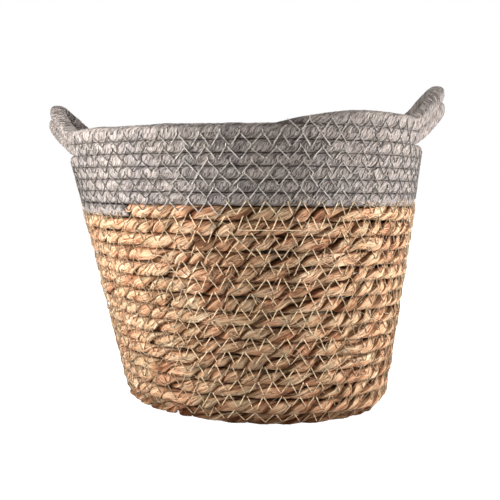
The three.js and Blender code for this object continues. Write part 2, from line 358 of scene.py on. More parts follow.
def crease_depth(run, around, amount, seed):
    """Random creases on a cord, from how deep, over what length and how many round they are, and how much of
    the cord they leave smooth"""
    deep, step, count, smooth_part = amount
    return deep * np.maximum(np.abs(crinkle(run, step, around, count, seed)) - smooth_part, 0)


def add_tube(shape, rings, around, length, girth, start, seam_shade):
    """Adds a closed tube through rings of points to a bmesh. Its UV map is in metres, along it and round it.
    Each point also keeps how far it lies in the seam between two rows, from 0 to 1, which the materials
    darken there as painted shade."""
    count, sides = rings.shape[:2]
    tube = bmesh.new()
    tube.loops.layers.uv.new("UVMap")
    bmesh.ops.create_grid(tube, x_segments=count - 1, y_segments=sides, size=1, calc_uvs=True)
    mesh = bpy.data.meshes.new("tube")
    tube.to_mesh(mesh)
    spots = np.empty(len(mesh.vertices) * 3)
    mesh.vertices.foreach_get("co", spots)
    spots = (spots.reshape(-1, 3) + 1) / 2
    ring = np.rint(spots[:, 0] * (count - 1)).astype(int)
    side = np.rint(spots[:, 1] * sides).astype(int) % sides
    mesh.vertices.foreach_set("co", rings[ring, side].ravel())
    mesh.attributes.new("seam_shade", "FLOAT", "POINT").data.foreach_set("value", seam_shade[ring, side])
    layer = mesh.uv_layers[0].data
    uv = np.empty(len(layer) * 2)
    layer.foreach_get("uv", uv)
    uv = uv.reshape(-1, 2)
    uv[:, 1] = np.interp(uv[:, 1] * sides, np.arange(sides + 1), np.append(around, 1))
    uv = uv * (length, girth) + (start, 0)
    layer.foreach_set("uv", uv.ravel())
    tube.clear()
    tube.from_mesh(mesh)
    bmesh.ops.remove_doubles(tube, verts=[v for v in tube.verts if v.is_boundary], dist=WELD_WITHIN)
    bmesh.ops.holes_fill(tube, edges=[e for e in tube.edges if e.is_boundary], sides=sides + 1)
    bmesh.ops.recalc_face_normals(tube, faces=tube.faces)
    tube.to_mesh(mesh)
    tube.free()
    shape.from_mesh(mesh)
    bpy.data.meshes.remove(mesh)


def finish_piece(shape, name, material, slot, *replaced):
    """Turns a bmesh into a smooth-shaded piece that rides on the basket"""
    mesh = bpy.data.meshes.new(name)
    shape.to_mesh(mesh)
    shape.free()
    mesh.shade_smooth()
    mesh.materials.append(material)
    piece = bpy.data.objects.new(name, mesh)
    scene.collection.objects.link(piece)
    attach(piece, "root")
    for node in replaced:
        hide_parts(node)
    return piece


def ramp(add, stops):
    """A colour ramp from places and colours"""
    node = add("ShaderNodeValToRGB")
    bar = node.color_ramp
    while len(bar.elements) < len(stops):
        bar.elements.new(0.5)
    for element, (where, colour) in zip(bar.elements, stops):
        element.position = where
        element.color = (*colour, 1)
    return node


def stretched_noise(tree, add, source, scale, detail, roughness=0.55, turn=0.0):
    """Noise with its own scale along and across the cord"""
    mapping = add("ShaderNodeMapping", vector_type="TEXTURE")
    mapping.inputs["Rotation"].default_value = (0, 0, turn)
    mapping.inputs["Scale"].default_value = (1 / scale[0], 1 / scale[1], 1 / scale[1])
    noise = add("ShaderNodeTexNoise")
    noise.inputs["Scale"].default_value = 1
    noise.inputs["Detail"].default_value = detail
    noise.inputs["Roughness"].default_value = roughness
    tree.links.new(source, mapping.inputs["Vector"])
    tree.links.new(mapping.outputs[0], noise.inputs["Vector"])
    return noise


def thin_lines(tree, add, source, scale, width, turn=0.0):
    """1 along thin lines, where a noise passes through its middle value, and 0 between them"""
    noise = stretched_noise(tree, add, source, scale, 2.0, 0.5, turn)
    off_middle = add("ShaderNodeMath", operation="SUBTRACT")
    off_middle.inputs[1].default_value = 0.5
    unsigned = add("ShaderNodeMath", operation="ABSOLUTE")
    line = add("ShaderNodeMapRange", interpolation_type="SMOOTHSTEP")
    line.inputs["From Max"].default_value = width
    line.inputs["To Min"].default_value = 1.0
    line.inputs["To Max"].default_value = 0.0
    tree.links.new(noise.outputs["Fac"], off_middle.inputs[0])
    tree.links.new(off_middle.outputs[0], unsigned.inputs[0])
    tree.links.new(unsigned.outputs[0], line.inputs["Value"])
    return line.outputs["Result"]


def lowered(tree, add, height, lines, depth):
    """A bump height that sinks along thin lines"""
    sunk = add("ShaderNodeMath", operation="MULTIPLY_ADD")
    sunk.inputs[1].default_value = -depth
    tree.links.new(lines, sunk.inputs[0])
    tree.links.new(height, sunk.inputs[2])
    return sunk.outputs[0]


def mixed(tree, add, blend, factor, first, second):
    """Mixes two colours, each given as a socket or as values"""
    node = add("ShaderNodeMix", data_type="RGBA", blend_type=blend)
    for key, value in (("Factor", factor), ("A", first), ("B", second)):
        sockets = [s for s in node.inputs if s.name == key and s.enabled]
        if isinstance(value, bpy.types.NodeSocket):
            tree.links.new(value, sockets[0])
        elif isinstance(value, tuple):
            sockets[0].default_value = (*value, 1)
        else:
            sockets[0].default_value = value
    return next(s for s in node.outputs if s.name == "Result" and s.enabled)


PLY_GIRTH = 0.0185
leaf = bpy.data.materials.new("dry_leaf")
tree, shader, add = node_chain(leaf)
uv_map = add("ShaderNodeUVMap", uv_map="UVMap").outputs[0]
where = add("ShaderNodeTexCoord").outputs["Object"]
# Each strip of leaf is a few millimetres wide and has its own colour for a few centimetres
strip = stretched_noise(tree, add, uv_map, (36, 125), 3.0)
strip_colour = ramp(
    add,
    [
        (0.34, (0.210, 0.100, 0.052)),
        (0.41, (0.430, 0.225, 0.128)),
        (0.47, (0.570, 0.345, 0.208)),
        (0.52, (0.660, 0.435, 0.280)),
        (0.56, (0.490, 0.365, 0.240)),
        (0.60, (0.700, 0.490, 0.325)),
        (0.66, (0.850, 0.670, 0.475)),
    ],
)
tree.links.new(strip.outputs["Fac"], strip_colour.inputs[0])
# Batches of leaf differ from place to place: pinker or greener
batch = stretched_noise(tree, add, where, (46, 46), 1.0)
batch_colour = ramp(add, [(0.36, (1.14, 1.02, 0.98)), (0.5, (1.07, 1.04, 1.01)), (0.64, (1.00, 1.03, 0.98))])
tree.links.new(batch.outputs["Fac"], batch_colour.inputs[0])
tinted = mixed(tree, add, "MULTIPLY", 1.0, strip_colour.outputs[0], batch_colour.outputs[0])
# Fine fibres run along the strand
fibre = stretched_noise(tree, add, uv_map, (85, 1000), 4.0, 0.65)
fibre_colour = ramp(add, [(0.34, (0.34, 0.28, 0.24)), (0.47, (0.95, 0.94, 0.93)), (0.66, (1.34, 1.31, 1.26))])
tree.links.new(fibre.outputs["Fac"], fibre_colour.inputs[0])
streaked = mixed(tree, add, "MULTIPLY", 0.95, tinted, fibre_colour.outputs[0])
# Splits and creases in the leaf show as thin lines of painted shade, which the bump also sinks
split = thin_lines(tree, add, uv_map, (55, 380), 0.022)
streaked = mixed(tree, add, "MULTIPLY", split, streaked, (0.42, 0.32, 0.25))
# Painted shade: the hollow between two strands is darker than the crest, which is half way round the UV map
parts = add("ShaderNodeSeparateXYZ")
tree.links.new(uv_map, parts.inputs[0])
hollow_shade = add("ShaderNodeMapRange", interpolation_type="SMOOTHSTEP")
hollow_shade.inputs["From Min"].default_value = 0.24
hollow_shade.inputs["From Max"].default_value = 0.35
hollow_shade.inputs["To Min"].default_value = 1.0
hollow_shade.inputs["To Max"].default_value = 0.0
from_seam = add("ShaderNodeMath", operation="PINGPONG")
from_seam.inputs[1].default_value = 0.5
share_round = add("ShaderNodeMath", operation="DIVIDE")
share_round.inputs[1].default_value = PLY_GIRTH
tree.links.new(parts.outputs["Y"], share_round.inputs[0])
tree.links.new(share_round.outputs[0], from_seam.inputs[0])
tree.links.new(from_seam.outputs[0], hollow_shade.inputs["Value"])
leaf_colour = mixed(tree, add, "MULTIPLY", hollow_shade.outputs["Result"], streaked, (0.32, 0.24, 0.18))
# Painted shade in the seam between two rows too
seam_shade = add("ShaderNodeAttribute", attribute_name="seam_shade").outputs["Fac"]
leaf_colour = mixed(tree, add, "MULTIPLY", seam_shade, leaf_colour, (0.37, 0.26, 0.19))
tree.links.new(leaf_colour, shader.inputs["Base Color"])
shader.inputs["Roughness"].default_value = 0.5
shader.inputs["Specular IOR Level"].default_value = 0.07
bump = add("ShaderNodeBump")
bump.inputs["Strength"].default_value = 0.75
bump.inputs["Distance"].default_value = 0.0009
tree.links.new(lowered(tree, add, fibre.outputs["Fac"], split, 0.4), bump.inputs["Height"])
tree.links.new(bump.outputs[0], shader.inputs["Normal"])

PLIES = 3
LAY_LENGTH = 0.0495  # along the cord, for one whole twist
LINGER = -0.15  # above 0 the twist is slower where a hollow faces outwards, below 0 where a strand does
PLY_OFFSET = 0.00265  # from the middle of the cord to the middle of a strand
PLY_DEPTH = 0.00255
PLY_WIDTH = 0.0035
PLY_TILT = math.radians(14)  # one edge of a strand lies on top of the next strand
PLY_SIDES = 16
SIDE_CROWD = 0.5  # sides are closer together on the strand's outer face
OUTER_POWER = 1.5  # the higher, the less of a strand counts as its outer face
INNER_SIZE = 0.88  # a strand is smaller inside the cord, and fuller and wider on its outer face
OUTER_FULLER = 0.22
OUTER_WIDER = 0.27
ROW_SQUEEZE = 0.0066  # half the height that a strand can take up between the neighbouring rows
ROW_FILL = 1.04  # above 1 a row is taller than it is deep, so neighbouring rows close the seam between them
SEAM_FROM = 0.0040  # from the middle of a row to where the painted shade of the seam starts, and to where it is full
SEAM_FULL = 0.0052
ROW_WAVE = 0.0008  # how far a row of the wall strays up and down, and over what length
ROW_WAVE_LENGTH = 0.019
RING_STEP = 0.0014
STRIPS_ROUND = 5.0  # strips of leaf round a strand, each a little proud of the next
STRIP_EDGE = 0.0006
STRIP_MIDDLE = 0.43  # what a strip's height is measured from, as a share of its edge
STRIP_DROP = 0.84  # the share of a strip's width at which it starts to drop to the next
CUT_END = 0.007  # a strand tapers over this length at the cord's ends, to this share of its size
CUT_SIZE = 0.45
SLOW_TWIST = (1.8, 0.07)
QUICK_TWIST = (0.7, 0.021)
STRAND_SHIFT = (0.30, 0.024)
STRAND_SWELL = (0.15, 0.017)
STRAND_RIPPLE = (0.08, 0.007)
STRAND_SPREAD = (0.10, 0.021)
STRIP_SLANT = (1.6, 0.026, 3)
LEAF_BULGE = (0.00042, 0.009, 4)
LEAF_CREASE = (0.00055, 0.0045, 8, 0.3)
turns, run, middles, ups, outs = cord_line(BASE_START, SPLICE_TURN, NATURAL_THICKNESS, RING_STEP)
twist = 2 * np.pi * run / LAY_LENGTH + stray(run, SLOW_TWIST, 11) + stray(run, QUICK_TWIST, 12)
twist = twist + LINGER * np.cos(PLIES * twist)
wave = ROW_WAVE * smooth(turns, BASE_END, EASE_TO) * wander(run, ROW_WAVE_LENGTH, 13)
middles = middles + ups * wave[:, None]
around = np.arange(PLY_SIDES) / PLY_SIDES
around = around + SIDE_CROWD * np.sin(2 * np.pi * around) / (2 * np.pi)
ends = smooth(run, 0, CUT_END) * smooth(run[-1] - run, 0, CUT_END)
strands = []
for ply in range(PLIES):
    seed = 100 * (ply + 1)
    phase = twist + 2 * np.pi * ply / PLIES + stray(run, STRAND_SHIFT, seed + 6)
    outer = np.maximum(np.sin(phase), 0) ** OUTER_POWER
    full = 1 + stray(run, STRAND_SWELL, seed) + stray(run, STRAND_RIPPLE, seed + 1)
    full = full * (CUT_SIZE + (1 - CUT_SIZE) * ends)
    full = full * (INNER_SIZE + OUTER_FULLER * outer)
    wide = (INNER_SIZE + OUTER_WIDER * outer) * (1 + stray(run, STRAND_SPREAD, seed + 2))
    strips = STRIPS_ROUND * around[None] + bulge(run, around, STRIP_SLANT, seed + 3)
    edge = strips - np.floor(strips)
    edge = edge - smooth(edge, STRIP_DROP, 1.0)
    skin = STRIP_EDGE * (edge - STRIP_MIDDLE)
    skin = skin + bulge(run, around, LEAF_BULGE, seed + 4)
    skin = skin - crease_depth(run, around, LEAF_CREASE, seed + 5)
    turned = (2 * np.pi * around + np.pi)[None]
    flat = (PLY_DEPTH * full[:, None] + skin) * np.cos(turned)
    broad = (PLY_WIDTH * (full * wide)[:, None] + skin) * np.sin(turned)
    deep = PLY_OFFSET + flat * math.cos(PLY_TILT) - broad * math.sin(PLY_TILT)
    broad = flat * math.sin(PLY_TILT) + broad * math.cos(PLY_TILT)
    phase = phase[:, None]
    rise = np.clip(ROW_FILL * (deep * np.cos(phase) - broad * np.sin(phase)), -ROW_SQUEEZE, ROW_SQUEEZE)
    depth = deep * np.sin(phase) + broad * np.cos(phase)
    points = middles[:, None] + ups[:, None] * rise[..., None] + outs[:, None] * depth[..., None]
    strands.append((settle(points), smooth(np.abs(rise), SEAM_FROM, SEAM_FULL)))

NATURAL_PIECES = 6
surfaces = []  # what the thread and the fibres are laid on, later
wall_from = int(np.searchsorted(turns, BASE_END))
cuts = np.rint(np.linspace(wall_from, len(turns) - 1, NATURAL_PIECES + 1)).astype(int)
spans = [("natural_cord_base", 0, wall_from, "base_coil")]
for number in range(NATURAL_PIECES):
    spans.append((f"natural_cord_{number + 1}", cuts[number], cuts[number + 1], "lower_wall_coil"))
for name, low, high, node in spans:
    shape = bmesh.new()
    for strand, seam_shade in strands:
        span = slice(low, high + 1)
        add_tube(shape, strand[span], around, run[high] - run[low], PLY_GIRTH, run[low], seam_shade[span])
    surfaces.append(BVHTree.FromBMesh(shape))
    finish_piece(shape, name, leaf, "natural_straw", node)


# Grey cord: a strip of paper twisted into a cord, with slanting pleats. It starts at the splice, carries the
# wall up to the rim, and its top two turns leave the wall twice as the lift handles. Its last end thins out.
GREY_GIRTH = 0.028
GREY_SIDES = 34
GREY_STEP = 0.00105
PLEATS = 8
PLEAT_LAY = 0.034  # along the cord, for one pleat to go once round
PLEAT_DEPTH = 0.0003
PLEAT_POWER = 0.7  # below 1 a pleat is a round ridge between sharp grooves
PLEAT_MIDDLE = 0.8  # what its height is measured from, as a share of its depth
PLEAT_WEIGHT = 0.55  # the mean depth of a pleat, as a share of its depth
PLEAT_PATCHES = (0.45, 0.012, 3)
PLEAT_SLANT = (0.9, 0.018, 4)
STRAP_PLEATS = 1.2  # how much deeper the pleats are on a handle
GREY_SWELL = (0.035, 0.02)
PAPER_BULGE = (0.00015, 0.006, 8)
PAPER_CREASE = (0.0004, 0.0035, 13, 0.25)
ROW_PRESS = 1.07  # rows press against each other, so a seam is a narrow crease
GREY_SEAM_FROM = 0.78  # the share of a row's half height at which the painted shade of the seam starts
SEAM_OPENS = 0.1  # the share of a handle's lift past which its cords have no painted seam shade, like the top row
GREY_PIECES = 2
SQUARED = 0.46  # below 1 the section is squarer than an ellipse
STRAP_SQUARED = 0.76
TAIL_ANGLE = 32
TAIL_END = 0.06  # the size of the tail's tip, as a share
GREY_ROUND_END = 0.005  # the cord starts round over this length, from this share of its size
GREY_START = 0.35
paper = bpy.data.materials.new("grey_paper")
tree, shader, add = node_chain(paper)
uv_map = add("ShaderNodeUVMap", uv_map="UVMap").outputs[0]
where = add("ShaderNodeTexCoord").outputs["Object"]
slant = math.atan2(GREY_GIRTH, PLEAT_LAY)
# The slanting creases set both the paper's tone and its relief, so the colour is darkest where the relief is
# lowest: partly the paper's own tone, partly painted shade in the creases
crease = stretched_noise(tree, add, uv_map, (100, 800), 4.0, 0.62, slant)
crease_tone_and_shade = ramp(
    add,
    [
        (0.32, (0.090, 0.077, 0.070)),
        (0.43, (0.275, 0.240, 0.223)),
        (0.55, (0.400, 0.352, 0.328)),
        (0.70, (0.540, 0.484, 0.455)),
    ],
)
tree.links.new(crease.outputs["Fac"], crease_tone_and_shade.inputs[0])
patch = stretched_noise(tree, add, where, (60, 60), 2.0)
patch_colour = ramp(add, [(0.35, (0.96, 0.96, 0.97)), (0.5, (1.07, 1.06, 1.04)), (0.66, (1.16, 1.13, 1.09))])
tree.links.new(patch.outputs["Fac"], patch_colour.inputs[0])
toned = mixed(tree, add, "MULTIPLY", 1.0, crease_tone_and_shade.outputs[0], patch_colour.outputs[0])
# Sharp folds in the paper show as thin lines of painted shade, which the bump also sinks
fold = thin_lines(tree, add, uv_map, (95, 620), 0.035, slant)
paper_colour = mixed(tree, add, "MULTIPLY", fold, toned, (0.34, 0.32, 0.31))
# Painted shade: the seam between two rows is darker
seam_shade = add("ShaderNodeAttribute", attribute_name="seam_shade").outputs["Fac"]
paper_colour = mixed(tree, add, "MULTIPLY", seam_shade, paper_colour, (0.42, 0.39, 0.37))
tree.links.new(paper_colour, shader.inputs["Base Color"])
shader.inputs["Roughness"].default_value = 0.8
shader.inputs["Specular IOR Level"].default_value = 0.06
crumple = stretched_noise(tree, add, uv_map, (340, 900), 4.0, 0.6, slant)
relief = add("ShaderNodeMath", operation="ADD")
tree.links.new(crease.outputs["Fac"], relief.inputs[0])
tree.links.new(crumple.outputs["Fac"], relief.inputs[1])
bump = add("ShaderNodeBump")
bump.inputs["Strength"].default_value = 1.0
bump.inputs["Distance"].default_value = 0.0017
tree.links.new(lowered(tree, add, relief.outputs[0], fold, 0.35), bump.inputs["Height"])
tree.links.new(bump.outputs[0], shader.inputs["Normal"])

turns, run, middles, ups, outs = cord_line(SPLICE_TURN, END_TURN, GREY_THICKNESS, GREY_STEP)
share = handle_lift(turns)[1]
around = np.arange(GREY_SIDES) / GREY_SIDES
opening = np.clip(turns - RIM_START, 0, 1)
half_wide = ROW_PRESS * (GREY_PITCH + (RIM_PITCH - GREY_PITCH) * opening) / 2
half_wide = half_wide + (STRAP_WIDE / 2 - half_wide) * share
half_deep = (GREY_THICKNESS + (STRAP_DEEP - GREY_THICKNESS) * share) / 2
tail_start = END_TURN - TAIL_ANGLE / 360
thinned = np.clip((turns - tail_start) / (END_TURN - tail_start), 0, 1)
full = 1 - (1 - TAIL_END) * thinned**2
full = full * (GREY_START + (1 - GREY_START) * np.sqrt(smooth(run, 0, GREY_ROUND_END)))
full = full * (1 + stray(run, GREY_SWELL, 301))
pleat = PLEATS * (around[None] - run[:, None] / PLEAT_LAY) + bulge(run, around, PLEAT_SLANT, 302)
groove = np.abs(np.sin(np.pi * pleat)) ** PLEAT_POWER
strength = (PLEAT_WEIGHT + bulge(run, around, PLEAT_PATCHES, 303)) * (1 + STRAP_PLEATS * share)[:, None]
skin = PLEAT_DEPTH * strength * (groove - PLEAT_MIDDLE)
skin = skin + bulge(run, around, PAPER_BULGE, 304)
skin = skin - crease_depth(run, around, PAPER_CREASE, 305)
turned = (2 * np.pi * around + np.pi / 2)[None]
squared = (SQUARED + (STRAP_SQUARED - SQUARED) * share)[:, None]
across = np.sign(np.cos(turned)) * np.abs(np.cos(turned)) ** squared
outward = np.sign(np.sin(turned)) * np.abs(np.sin(turned)) ** squared
rise_by = (half_wide[:, None] + skin) * full[:, None] * across - (half_wide * (1 - full))[:, None]
deep_by = (half_deep[:, None] + skin) * full[:, None] * outward
points = settle(middles[:, None] + ups[:, None] * rise_by[..., None] + outs[:, None] * deep_by[..., None])
covered = (turns < END_TURN - 1) * (1 - smooth(share, 0, SEAM_OPENS))
seam_shade = smooth(np.abs(rise_by) / half_wide[:, None], GREY_SEAM_FROM, 1.0) * covered[:, None]
rim_from = int(np.searchsorted(turns, RIM_START))
cuts = np.rint(np.linspace(0, rim_from, GREY_PIECES + 1)).astype(int)
spans = [
    (f"grey_cord_{number + 1}", cuts[number], cuts[number + 1], "upper_wall_coil")
    for number in range(GREY_PIECES)
]
spans.append(("grey_cord_rim", rim_from, len(turns) - 1, "rim_and_handles"))
for name, low, high, node in spans:
    shape = bmesh.new()
    span = slice(low, high + 1)
    add_tube(shape, points[span], around, run[high] - run[low], GREY_GIRTH, run[low], seam_shade[span])
    surfaces.append(BVHTree.FromBMesh(shape))
    finish_piece(shape, name, paper, "grey_cord", node)


# Stitching: a clear thread in a machine zigzag over every seam between two turns, cream on the natural cord
# and pale on the grey one. Each leg lies on the cords, taut from crest to crest, and dives into them at both
# ends.
THREAD_RADIUS = 0.00036
THREAD_CLEAR = THREAD_RADIUS * 1.2
THREAD_SINK = THREAD_RADIUS * 3
LEG_POINTS = 9
LEG_TIGHTNESS = 0.95
LOOK_OUT = 0.014  # from this far out of the seam's middle to this far in, a thread looks for the cords
NATURAL_STITCH = {"length": 0.0113, "above": 0.0040, "below": 0.0048, "apart": 0.0010, "stub": 0}
GREY_STITCH = {"length": 0.0136, "above": 0.0038, "below": 0.0044, "apart": 0.0003, "stub": 0.002}
LENGTH_SPREAD = (0.84, 1.16)  # how a stitch differs from the next, as shares of its sizes
ABOVE_SPREAD = (0.78, 1.15)
BELOW_SPREAD = (0.8, 1.12)
APART_SPREAD = (0.2, 1.6)
RETURN_SPREAD = (0.92, 1.08)
NEEDLE_DRIFT = 0.0006
STUB_OVERLAP = 0.0004
SEAM_LEAD = 0.3  # turns from the start of the cord to the first stitch
COLOUR_CHANGE = 0.1  # turns before the splice at which the thread changes
FINISH_TURNS = 1.02  # turns before the end of the cord at which the seam ends
LOOSE_ENDS = (
    {"turn": 12.0096, "along": -0.040, "up": (-0.0050, -0.0047), "points": 25, "tight": 0.9, "clear": 1},
    {"turn": 12.019, "along": -0.0178, "up": (-0.0042, -0.0227), "points": 15, "tight": 0.95, "clear": 1.5},
)
LOOSE_SINK = 0.001


def thread_paint(name, dark, light, glint):
    """A clear thread with glints. Its colour has painted shade on the basket's flanks and painted light in
    the middle of the front and back, and its tone wanders a little besides."""
    material = bpy.data.materials.new(name)
    tree, shader, add = node_chain(material)
    where = add("ShaderNodeTexCoord").outputs["Object"]
    # Painted light and shade by the place round the basket: darker on the flanks, lighter in the middle of
    # the front and back, standing in for how a clear thread catches the side lights
    level_part = add("ShaderNodeVectorMath", operation="MULTIPLY_ADD")
    level_part.inputs[1].default_value = (1, 1, 0)
    level_part.inputs[2].default_value = (-AXIS_X, -AXIS_Y, 0)
    bearing = add("ShaderNodeVectorMath", operation="NORMALIZE")
    parts = add("ShaderNodeSeparateXYZ")
    frontness = add("ShaderNodeMath", operation="ABSOLUTE")
    painted_light_share = add("ShaderNodeMapRange", interpolation_type="SMOOTHSTEP")
    painted_light_share.inputs["From Min"].default_value = 0.80
    painted_light_share.inputs["From Max"].default_value = 0.96
    tree.links.new(where, level_part.inputs[0])
    tree.links.new(level_part.outputs["Vector"], bearing.inputs[0])
    tree.links.new(bearing.outputs["Vector"], parts.inputs[0])
    tree.links.new(parts.outputs["Y"], frontness.inputs[0])
    tree.links.new(frontness.outputs[0], painted_light_share.inputs["Value"])
    painted_light_and_shade = mixed(tree, add, "MIX", painted_light_share.outputs["Result"], dark, light)
    shade = stretched_noise(tree, add, where, (300, 300), 2.0)
    shade_ramp = ramp(add, [(0.35, (0.6, 0.6, 0.6)), (0.65, (1.3, 1.3, 1.3))])
    tree.links.new(shade.outputs["Fac"], shade_ramp.inputs[0])
    thread_colour = mixed(tree, add, "MULTIPLY", 1.0, painted_light_and_shade, shade_ramp.outputs[0])
    tree.links.new(thread_colour, shader.inputs["Base Color"])
    shader.inputs["Roughness"].default_value = 0.24
    shader.inputs["Specular IOR Level"].default_value = 0.5
    shader.inputs["Specular Tint"].default_value = (*glint, 1)
    shader.inputs["IOR"].default_value = 1.8
    return material


cream_thread = thread_paint("cream_thread", (0.290, 0.195, 0.112), (0.860, 0.680, 0.440), (1.0, 0.84, 0.62))
pale_thread = thread_paint("pale_thread", (0.090, 0.078, 0.071), (0.560, 0.520, 0.470), (1.0, 0.95, 0.89))


def seam_frame(turn):
    """Middle of the seam above a turn and the directions up and out there, in the round basket, and whether
    that seam is stitched"""
    turn = np.atleast_1d(turn)
    side, share, reach, rise, tip = handle_lift(turn)
    above = handle_lift(turn + 1)[0]
    pair = (side < 0) & (above > 0)
    thickness = np.where(turn < SPLICE_TURN, NATURAL_THICKNESS, GREY_THICKNESS)
    radius, height, rising = profile((wind_distance(turn) + wind_distance(turn + 1)) / 2, thickness)
    slope = rising + np.where(pair, share * (tip + FLARE_ANGLE), 0)
    radius = radius + np.where(pair, share * reach, 0)
    height = height + np.where(pair, share * rise, 0)
    stitched = (side == 0) & (above == 0)
    middle = place(radius, height, turn)
    up = place(np.cos(slope), np.sin(slope), turn)
    outward = place(np.sin(slope), -np.cos(slope), turn)
    return middle, up, outward, stitched


def on_cord(point, outward, above):
    """How far out of the seam's middle the cords' surface is, seen from outside"""
    start = settle(point + outward * above, -above)
    end = settle(point - outward * above, -above)
    way = Vector(end - start)
    reach = way.length
    best = None
    for surface in surfaces:
        hit = surface.ray_cast(Vector(start), way.normalized(), reach)
        if hit[3] is not None and (best is None or hit[3] < best):
            best = hit[3]
    return None if best is None else above - best * 2 * above / reach


def taut(spots, heights):
    """Heights of a thread pulled tight over a row of surface heights"""
    hull = []
    for spot in zip(spots, heights):
        while len(hull) > 1:
            (x0, y0), (x1, y1) = hull[-2], hull[-1]
            if (y1 - y0) * (spot[0] - x0) <= (spot[1] - y0) * (x1 - x0):
                hull.pop()
            else:
                break
        hull.append(spot)
    return np.interp(spots, [x for x, _ in hull], [y for _, y in hull])


def laid_on(turn, runs, rises, tightness, clear, sink):
    """Points of a thread or fibre on the cords, from places along and up from the seam at a turn, or None
    where that seam is open. Tightness 1 is pulled straight from crest to crest. Clear is how far its middle
    stands off the cords, and sink how far its ends dive."""
    radius_at = float(profile(wind_distance(turn), NATURAL_THICKNESS)[0])
    middle, up, outward, stitched = seam_frame(turn + runs / (2 * np.pi * radius_at))
    if not stitched.all():
        return None
    base = middle + up * rises[:, None]
    heights = []
    for point, way in zip(base, outward):
        height = on_cord(point, way, LOOK_OUT)
        heights.append(height if height is not None else np.nan)
    heights = np.array(heights)
    found = ~np.isnan(heights)
    if found.sum() < len(runs) / 2:
        return None
    spots = np.linspace(0, 1, len(runs))
    heights = np.interp(spots, spots[found], heights[found])
    heights = tightness * taut(spots, heights) + (1 - tightness) * heights + clear
    heights[0] -= sink
    heights[-1] -= sink
    line = settle(base + outward * heights[:, None])
    line[:, 2] = np.maximum(line[:, 2], THREAD_RADIUS)
    return line


def stitch_leg(turn, along_from, up_from, along_to, up_to):
    """Points of one straight leg of thread"""
    runs = np.linspace(along_from, along_to, LEG_POINTS)
    rises = np.linspace(up_from, up_to, LEG_POINTS)
    return laid_on(turn, runs, rises, LEG_TIGHTNESS, THREAD_CLEAR, THREAD_SINK)


def threads_piece(name, lines, radius, material, slot):
    """A piece made of thin round threads through rows of points"""
    curve = bpy.data.curves.new(name, "CURVE")
    curve.dimensions = "3D"
    curve.bevel_depth = radius
    curve.bevel_resolution = 0
    curve.use_fill_caps = True
    for line in lines:
        spline = curve.splines.new("POLY")
        spline.points.add(len(line) - 1)
        spline.points.foreach_set("co", np.column_stack([line, np.ones(len(line))]).ravel())
    thread_object = bpy.data.objects.new(name, curve)
    scene.collection.objects.link(thread_object)
    bpy.context.view_layer.update()
    drawn = thread_object.evaluated_get(bpy.context.evaluated_depsgraph_get())
    mesh = bpy.data.meshes.new_from_object(drawn)
    bpy.data.objects.remove(thread_object)
    shape = bmesh.new()
    shape.from_mesh(mesh)
    bmesh.ops.recalc_face_normals(shape, faces=shape.faces)
    return finish_piece(shape, name, material, slot)


def zigzag(first, last, stitch, seed):
    """Legs of a zigzag along the seam that starts above one turn and ends above another"""
    chance = np.random.default_rng(seed)
    lines = []
    turn = first
    while turn < last:
        length = stitch["length"] * chance.uniform(*LENGTH_SPREAD)
        shift, drift, other_drift = chance.uniform(-NEEDLE_DRIFT, NEEDLE_DRIFT, 3)
        above = stitch["above"] * chance.uniform(*ABOVE_SPREAD)
        below = -stitch["below"] * chance.uniform(*BELOW_SPREAD)
        gap = stitch["apart"] * chance.uniform(*APART_SPREAD)
        lines.append(stitch_leg(turn, shift + gap / 2, above, length / 2 - gap / 2 + drift, below))
        back_from = length / 2 + gap / 2 + other_drift
        back_below = below * chance.uniform(*RETURN_SPREAD)
        lines.append(stitch_leg(turn, back_from, back_below, length - gap / 2, above))
        if stitch["stub"]:
            lines.append(stitch_leg(turn, shift, above + stitch["stub"], shift, above - STUB_OVERLAP))
        turn += length / (2 * np.pi * float(profile(wind_distance(turn), NATURAL_THICKNESS)[0]))
    return [line for line in lines if line is not None]


natural_lines = zigzag(BASE_START + SEAM_LEAD, SPLICE_TURN - COLOUR_CHANGE, NATURAL_STITCH, 21)
# Two ends of thread were left loose near the middle of the wall, under the grey rows
for end in LOOSE_ENDS:
    runs = np.linspace(0, end["along"], end["points"])
    rises = np.linspace(*end["up"], end["points"])
    clear = THREAD_RADIUS * end["clear"]
    natural_lines.append(laid_on(end["turn"], runs, rises, end["tight"], clear, LOOSE_SINK))
threads_piece("natural_stitching", natural_lines, THREAD_RADIUS, cream_thread, "natural_straw")
grey_lines = zigzag(SPLICE_TURN - COLOUR_CHANGE, END_TURN - FINISH_TURNS, GREY_STITCH, 22)
threads_piece("grey_stitching", grey_lines, THREAD_RADIUS, pale_thread, "grey_cord")


# Stray fibres: thin hairs of leaf that have come away from the natural cord. They are dry and a little bowed,
# lie across its rows at all slants, and some stand off it.
FIBRES = 1500
FIBRE_POINTS = 6
FIBRE_RADIUS = 0.00015
FIBRE_LENGTH = (0.006, 0.019)
FIBRE_SLANT = 1.25
FIBRE_BOW = 0.22  # as a share of its length
FIBRE_OFF_SEAM = 0.006
FIBRE_TIGHTNESS = (0.3, 1.0)
FIBRE_CLEAR = (0.0001, 0.0006)
FIBRE_SINK = 0.0003
FIBRE_MARGIN = 0.15  # turns next to the corner and to the splice that have none
hair = bpy.data.materials.new("stray_fibre")
tree, shader, add = node_chain(hair)
mottle = stretched_noise(tree, add, add("ShaderNodeTexCoord").outputs["Object"], (130, 130), 1.0)
mottle_colour = ramp(add, [(0.40, (0.17, 0.09, 0.045)), (0.5, (0.48, 0.31, 0.18)), (0.6, (0.82, 0.66, 0.44))])
tree.links.new(mottle.outputs["Fac"], mottle_colour.inputs[0])
tree.links.new(mottle_colour.outputs[0], shader.inputs["Base Color"])
shader.inputs["Roughness"].default_value = 0.55
chance = np.random.default_rng(31)
spots = np.linspace(-0.5, 0.5, FIBRE_POINTS)
arch = 1 - 4 * spots**2
hairs = []
